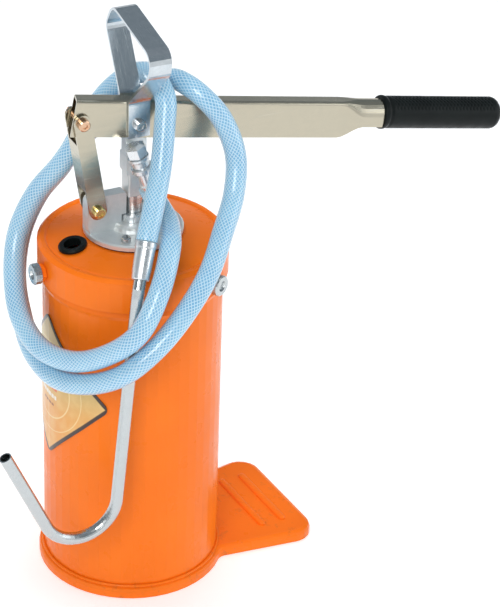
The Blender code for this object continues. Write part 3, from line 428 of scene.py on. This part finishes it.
def make_label(mat):
    """A rounded square standing on its corner, cut into narrow strips and bent round the tank's wall."""
    bm = bmesh.new()
    outline = []
    inner = LABEL_HALF - LABEL_CORNER
    for quarter, (cx, cy) in enumerate(((inner, inner), (-inner, inner), (-inner, -inner), (inner, -inner))):
        for step in range(7):
            turn = math.radians(90.0 * quarter + 15.0 * step)
            outline.append((cx + LABEL_CORNER * math.cos(turn), cy + LABEL_CORNER * math.sin(turn), 0.0))
    bm.faces.new([bm.verts.new(p) for p in outline])
    for step in range(-STRIPS, STRIPS + 1):
        cut = bm.verts[:] + bm.edges[:] + bm.faces[:]
        place = (step * STRIP_WIDTH, 0.0, 0.0)
        bmesh.ops.bisect_plane(bm, geom=cut, plane_co=place, plane_no=(1.0, -1.0, 0.0))
    layer = bm.loops.layers.uv.new("sheet")
    top = bm.faces[:]
    grown = bmesh.ops.extrude_face_region(bm, geom=top)
    for vert in grown["geom"]:
        if isinstance(vert, bmesh.types.BMVert):
            vert.co.z = 1.0
    for face in bm.faces:
        for loop in face.loops:
            loop[layer].uv = (loop.vert.co.x / LABEL_HALF, loop.vert.co.y / LABEL_HALF)
    for vert in bm.verts:
        run, rise, outside = vert.co
        radius = LABEL_RADII[1] if outside > 0.5 else LABEL_RADII[0]
        turn = math.pi + (run - rise) / TANK_RADIUS
        vert.co = (radius * math.cos(turn), radius * math.sin(turn), LABEL_HEIGHT + run + rise)
    label = add_mesh("label_sticker", bm, mat)
    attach(label, "tank")
    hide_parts("label_plate")


# ---------------------------------------------------------------- grip

ROD_PIN = Vector((0.0, 0.0, 0.556))
LEVER_DROP = math.radians(11.2)
TUBE_AXIS = 0.0105
GRIP_START = 0.3030
GRIP_SIDES = 96
GRIP_RINGS = 180
GRIP_RADIUS = 0.0184
GRIP_BORE_DEPTH = 0.004
GRIP_PROFILE = (
    (0.0, 0.0130), (0.0, 0.0172), (0.0010, 0.0186), (0.0022, 0.0191), (0.0044, 0.0191), (0.0058, 0.0186),
    (0.0068, 0.0177), (0.0080, 0.0177), (0.0095, 0.0180),
)
GRIP_END = (
    (0.1475, 0.0184), (0.1505, 0.0176), (0.1530, 0.0160),
    (0.1548, 0.0140), (0.1559, 0.0112), (0.1564, 0.0076),
)
DIMPLES_FROM, DIMPLES_TO = 0.014, 0.144
DIMPLE_ROWS = 9
DIMPLE_STEP = math.radians(13.0)
DIMPLE_PITCH = 0.0046
DIMPLE_DEPTH = 0.0011


def make_grip(mat):
    """The lever's hand grip: a rolled collar, rows of pressed dimples on its upper half, and a domed end."""
    bm = bmesh.new()
    first = GRIP_PROFILE[-1][0]
    last = GRIP_END[0][0]
    stations = list(GRIP_PROFILE)
    stations += [(first + (last - first) * k / GRIP_RINGS, GRIP_RADIUS) for k in range(1, GRIP_RINGS)]
    stations += list(GRIP_END)
    rings = []
    for along, radius in stations:
        ring = []
        for n in range(GRIP_SIDES):
            turn = 2.0 * math.pi * n / GRIP_SIDES
            size = radius
            if DIMPLES_FROM < along < DIMPLES_TO:
                row = (turn - math.pi / 2.0) / DIMPLE_STEP
                phase = along / DIMPLE_PITCH + (0.5 if round(row) % 2 else 0.0)
                if abs(row) < DIMPLE_ROWS / 2.0:
                    wave = math.cos(2.0 * math.pi * phase) * math.cos(math.pi * (row - round(row)))
                    size -= DIMPLE_DEPTH * max(0.0, wave)
            ring.append(bm.verts.new((size * math.cos(turn), size * math.sin(turn), along)))
        rings.append(ring)
    grid_of_rings(bm, rings)
    bm.faces.new(rings[-1])
    bore = [bm.verts.new((v.co.x, v.co.y, GRIP_BORE_DEPTH)) for v in rings[0]]
    grid_of_rings(bm, [rings[0], bore])
    bm.faces.new(bore)
    # +Z of the mesh runs along the lever and +Y points up from it
    along = Vector((math.cos(LEVER_DROP), 0.0, -math.sin(LEVER_DROP)))
    up = Vector((math.sin(LEVER_DROP), 0.0, math.cos(LEVER_DROP)))
    side = up.cross(along)
    start = ROD_PIN + up * TUBE_AXIS + along * GRIP_START
    columns = [(*side, 0.0), (*up, 0.0), (*along, 0.0), (*start, 1.0)]
    bmesh.ops.transform(bm, matrix=Matrix(columns).transposed(), verts=bm.verts)
    grip = add_mesh("lever_grip_dimpled", bm, mat, 50.0)
    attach(grip, "lever")
    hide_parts("lever_grip")


# ---------------------------------------------------------------- weld bead

WELD_RADIUS = 0.1012
WELD_HEIGHT = 0.0137
WELD_SIZE = 0.0019
WELD_STEPS = 360
WELD_SIDES = 8


def make_weld(mat):
    """The welded seam between the tank and its foot plate, with the ripple of the runs."""
    bm = bmesh.new()
    rings = []
    for k in range(WELD_STEPS):
        turn = 2.0 * math.pi * k / WELD_STEPS
        size = WELD_SIZE * (1.0 + 0.10 * math.sin(turn * 90.0) + 0.08 * math.sin(turn * 13.0 + 1.0))
        out = Vector((math.cos(turn), math.sin(turn), 0.0))
        centre = out * WELD_RADIUS + Vector((0.0, 0.0, WELD_HEIGHT))
        ring = []
        for n in range(WELD_SIDES):
            angle = 2.0 * math.pi * n / WELD_SIDES
            offset = out * (math.cos(angle) * size) + Vector((0.0, 0.0, math.sin(angle) * size))
            ring.append(bm.verts.new(centre + offset))
        rings.append(ring)
    grid_of_rings(bm, rings + [rings[0]])
    weld = add_mesh("base_weld_bead", bm, mat, 80.0)
    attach(weld, "tank")


# ---------------------------------------------------------------- assigning, stage and lights

def dress(mat, *names):
    for name in names:
        mesh = nodes[name].data
        if not mesh.materials:
            mesh.materials.append(mat)
        for k in range(len(mesh.materials)):
            mesh.materials[k] = mat


FLOOR_HALF = 12.0
FLOOR_DROP = 0.0006


def make_stage(mat):
    bm = bmesh.new()
    bmesh.ops.create_grid(bm, x_segments=2, y_segments=2, size=FLOOR_HALF)
    bmesh.ops.translate(bm, vec=(0.0, 0.0, -FLOOR_DROP), verts=bm.verts)
    add_mesh("floor", bm, mat)


LIGHT_AIM = Vector((0.0, 0.0, 0.3))
LIGHTS = (
    # name, place, size, watts, colour, whether metal and paint mirror it
    ("key", (-2.0, -2.6, 2.6), 1.6, 64.0, (1.0, 0.98, 0.95), True),
    ("fill", (2.6, -1.6, 1.5), 2.0, 22.0, (0.97, 0.99, 1.0), True),
    ("top", (0.2, 0.8, 3.0), 2.4, 48.0, (1.0, 1.0, 1.0), False),
)


def make_light(name, place, size, power, colour, mirrored):
    data = bpy.data.lights.new(name, "AREA")
    data.shape = "SQUARE"
    data.size = size
    data.energy = power
    data.color = colour
    light = bpy.data.objects.new(name, data)
    scene.collection.objects.link(light)
    light.location = place
    light.visible_glossy = mirrored
    light.rotation_euler = (LIGHT_AIM - Vector(place)).to_track_quat("-Z", "Y").to_euler()


ROOM = (
    # the height of a direction from 0 at the horizon to 1 overhead, and the room's colour there
    (0.0, (1.0, 1.0, 1.0)), (0.07, (1.0, 1.0, 1.0)), (0.20, (0.34, 0.38, 0.41)),
    (0.45, (0.20, 0.24, 0.27)), (1.0, (0.30, 0.33, 0.36)),
)


def make_world():
    """A studio room by height alone: white below and at the walls' foot, grey above."""
    world = bpy.data.worlds.new("studio")
    scene.world = world
    world.use_nodes = True
    tree = world.node_tree
    coords = tree.nodes.new("ShaderNodeTexCoord")
    split = tree.nodes.new("ShaderNodeSeparateXYZ")
    ramp = tree.nodes.new("ShaderNodeValToRGB")
    tree.links.new(coords.outputs["Generated"], split.inputs[0])
    tree.links.new(split.outputs["Z"], ramp.inputs[0])
    tree.links.new(ramp.outputs[0], tree.nodes["Background"].inputs["Color"])
    ramp.color_ramp.elements.remove(ramp.color_ramp.elements[1])
    for k, (place, colour) in enumerate(ROOM):
        element = ramp.color_ramp.elements[0] if k == 0 else ramp.color_ramp.elements.new(place)
        element.position = place
        element.color = (*colour, 1.0)
    tree.nodes["Background"].inputs["Strength"].default_value = 1.0


def main():
    make_camera()
    orange = orange_paint()
    sheet = zinc(
        "zinc_sheet", (0.53, 0.48, 0.375), (0.46, 0.425, 0.34), 0.20,
        grain=(5.0, 5.0, 260.0), patch=0.35, relief=0.010,
    )
    strip = zinc(
        "zinc_strip", (0.70, 0.74, 0.77), (0.46, 0.52, 0.56), 0.22,
        grain=(700.0, 20.0, 40.0), patch=0.50, relief=0.04,
    )
    casting = zinc(
        "zinc_casting", (0.80, 0.83, 0.83), (0.62, 0.66, 0.67), 0.36,
        grain=(200.0, 200.0, 200.0), patch=0.4, relief=0.05, metal=0.6,
    )
    fitting = zinc(
        "zinc_fitting", (0.78, 0.81, 0.83), (0.60, 0.63, 0.65), 0.28,
        grain=(90.0, 90.0, 12.0), patch=0.30, relief=0.004, metal=0.85,
    )
    spout = zinc(
        "zinc_tube", (0.56, 0.59, 0.60), (0.42, 0.45, 0.45), 0.24,
        grain=(90.0, 90.0, 6.0), patch=0.25, relief=0.006,
    )
    bright = turned("bright_steel", (0.62, 0.63, 0.63), (0.48, 0.49, 0.49), 0.22)
    dull = turned("dull_steel", (0.55, 0.55, 0.53), (0.38, 0.37, 0.35), 0.38)
    copper = turned("yellow_zinc_worn", (0.74, 0.50, 0.34), (0.60, 0.34, 0.20), 0.22)
    yellow = turned("yellow_zinc", (0.80, 0.66, 0.30), (0.62, 0.46, 0.18), 0.22)
    brass = turned("brass", (0.80, 0.62, 0.30), (0.60, 0.44, 0.20), 0.25)
    black = rubber("rubber_black", (0.005, 0.007, 0.007), 0.40)
    seal = rubber("rubber_seal", (0.022, 0.022, 0.023), 0.62)
    make_hose(braided_vinyl())
    dress(orange, "base_plate", "tank_shell", "tank_floor", "lid", "lid_nut_1", "lid_nut_2", "lid_nut_3")
    dress(sheet, "lever_channel", "lever_tube", "link")
    dress(strip, "carry_handle")
    dress(casting, "pump_head", "rod_yoke")
    dress(fitting, "gland_nut", "outlet_elbow", "hose_nut", "hose_tail", "hose_ferrule")
    dress(spout, "spout_tube")
    dress(spout, "lid_clamp_1", "lid_clamp_2", "lid_clamp_3")
    dress(bright, "head_screw_1", "head_screw_2", "head_screw_3", "head_screw_4", "piston_rod")
    dress(bright, "foot_valve_ball", "piston_valve_ball", "rod_pin_bolt", "rod_pin_nut")
    dress(dull, "pump_barrel", "suction_strainer")
    dress(copper, "link_head_bolt", "link_head_nut")
    dress(yellow, "link_foot_bolt", "link_foot_nut")
    dress(brass, "foot_valve_body", "piston_body")
    dress(black, "lid_grommet")
    dress(seal, "lid_gasket", "head_gasket", "rod_seal", "piston_seal")
    make_label(label_print())
    make_grip(black)
    make_weld(orange)
    make_stage(floor_paper())
    make_world()
    for light in LIGHTS:
        make_light(*light)
    scene.view_settings.view_transform = "Standard"


main()
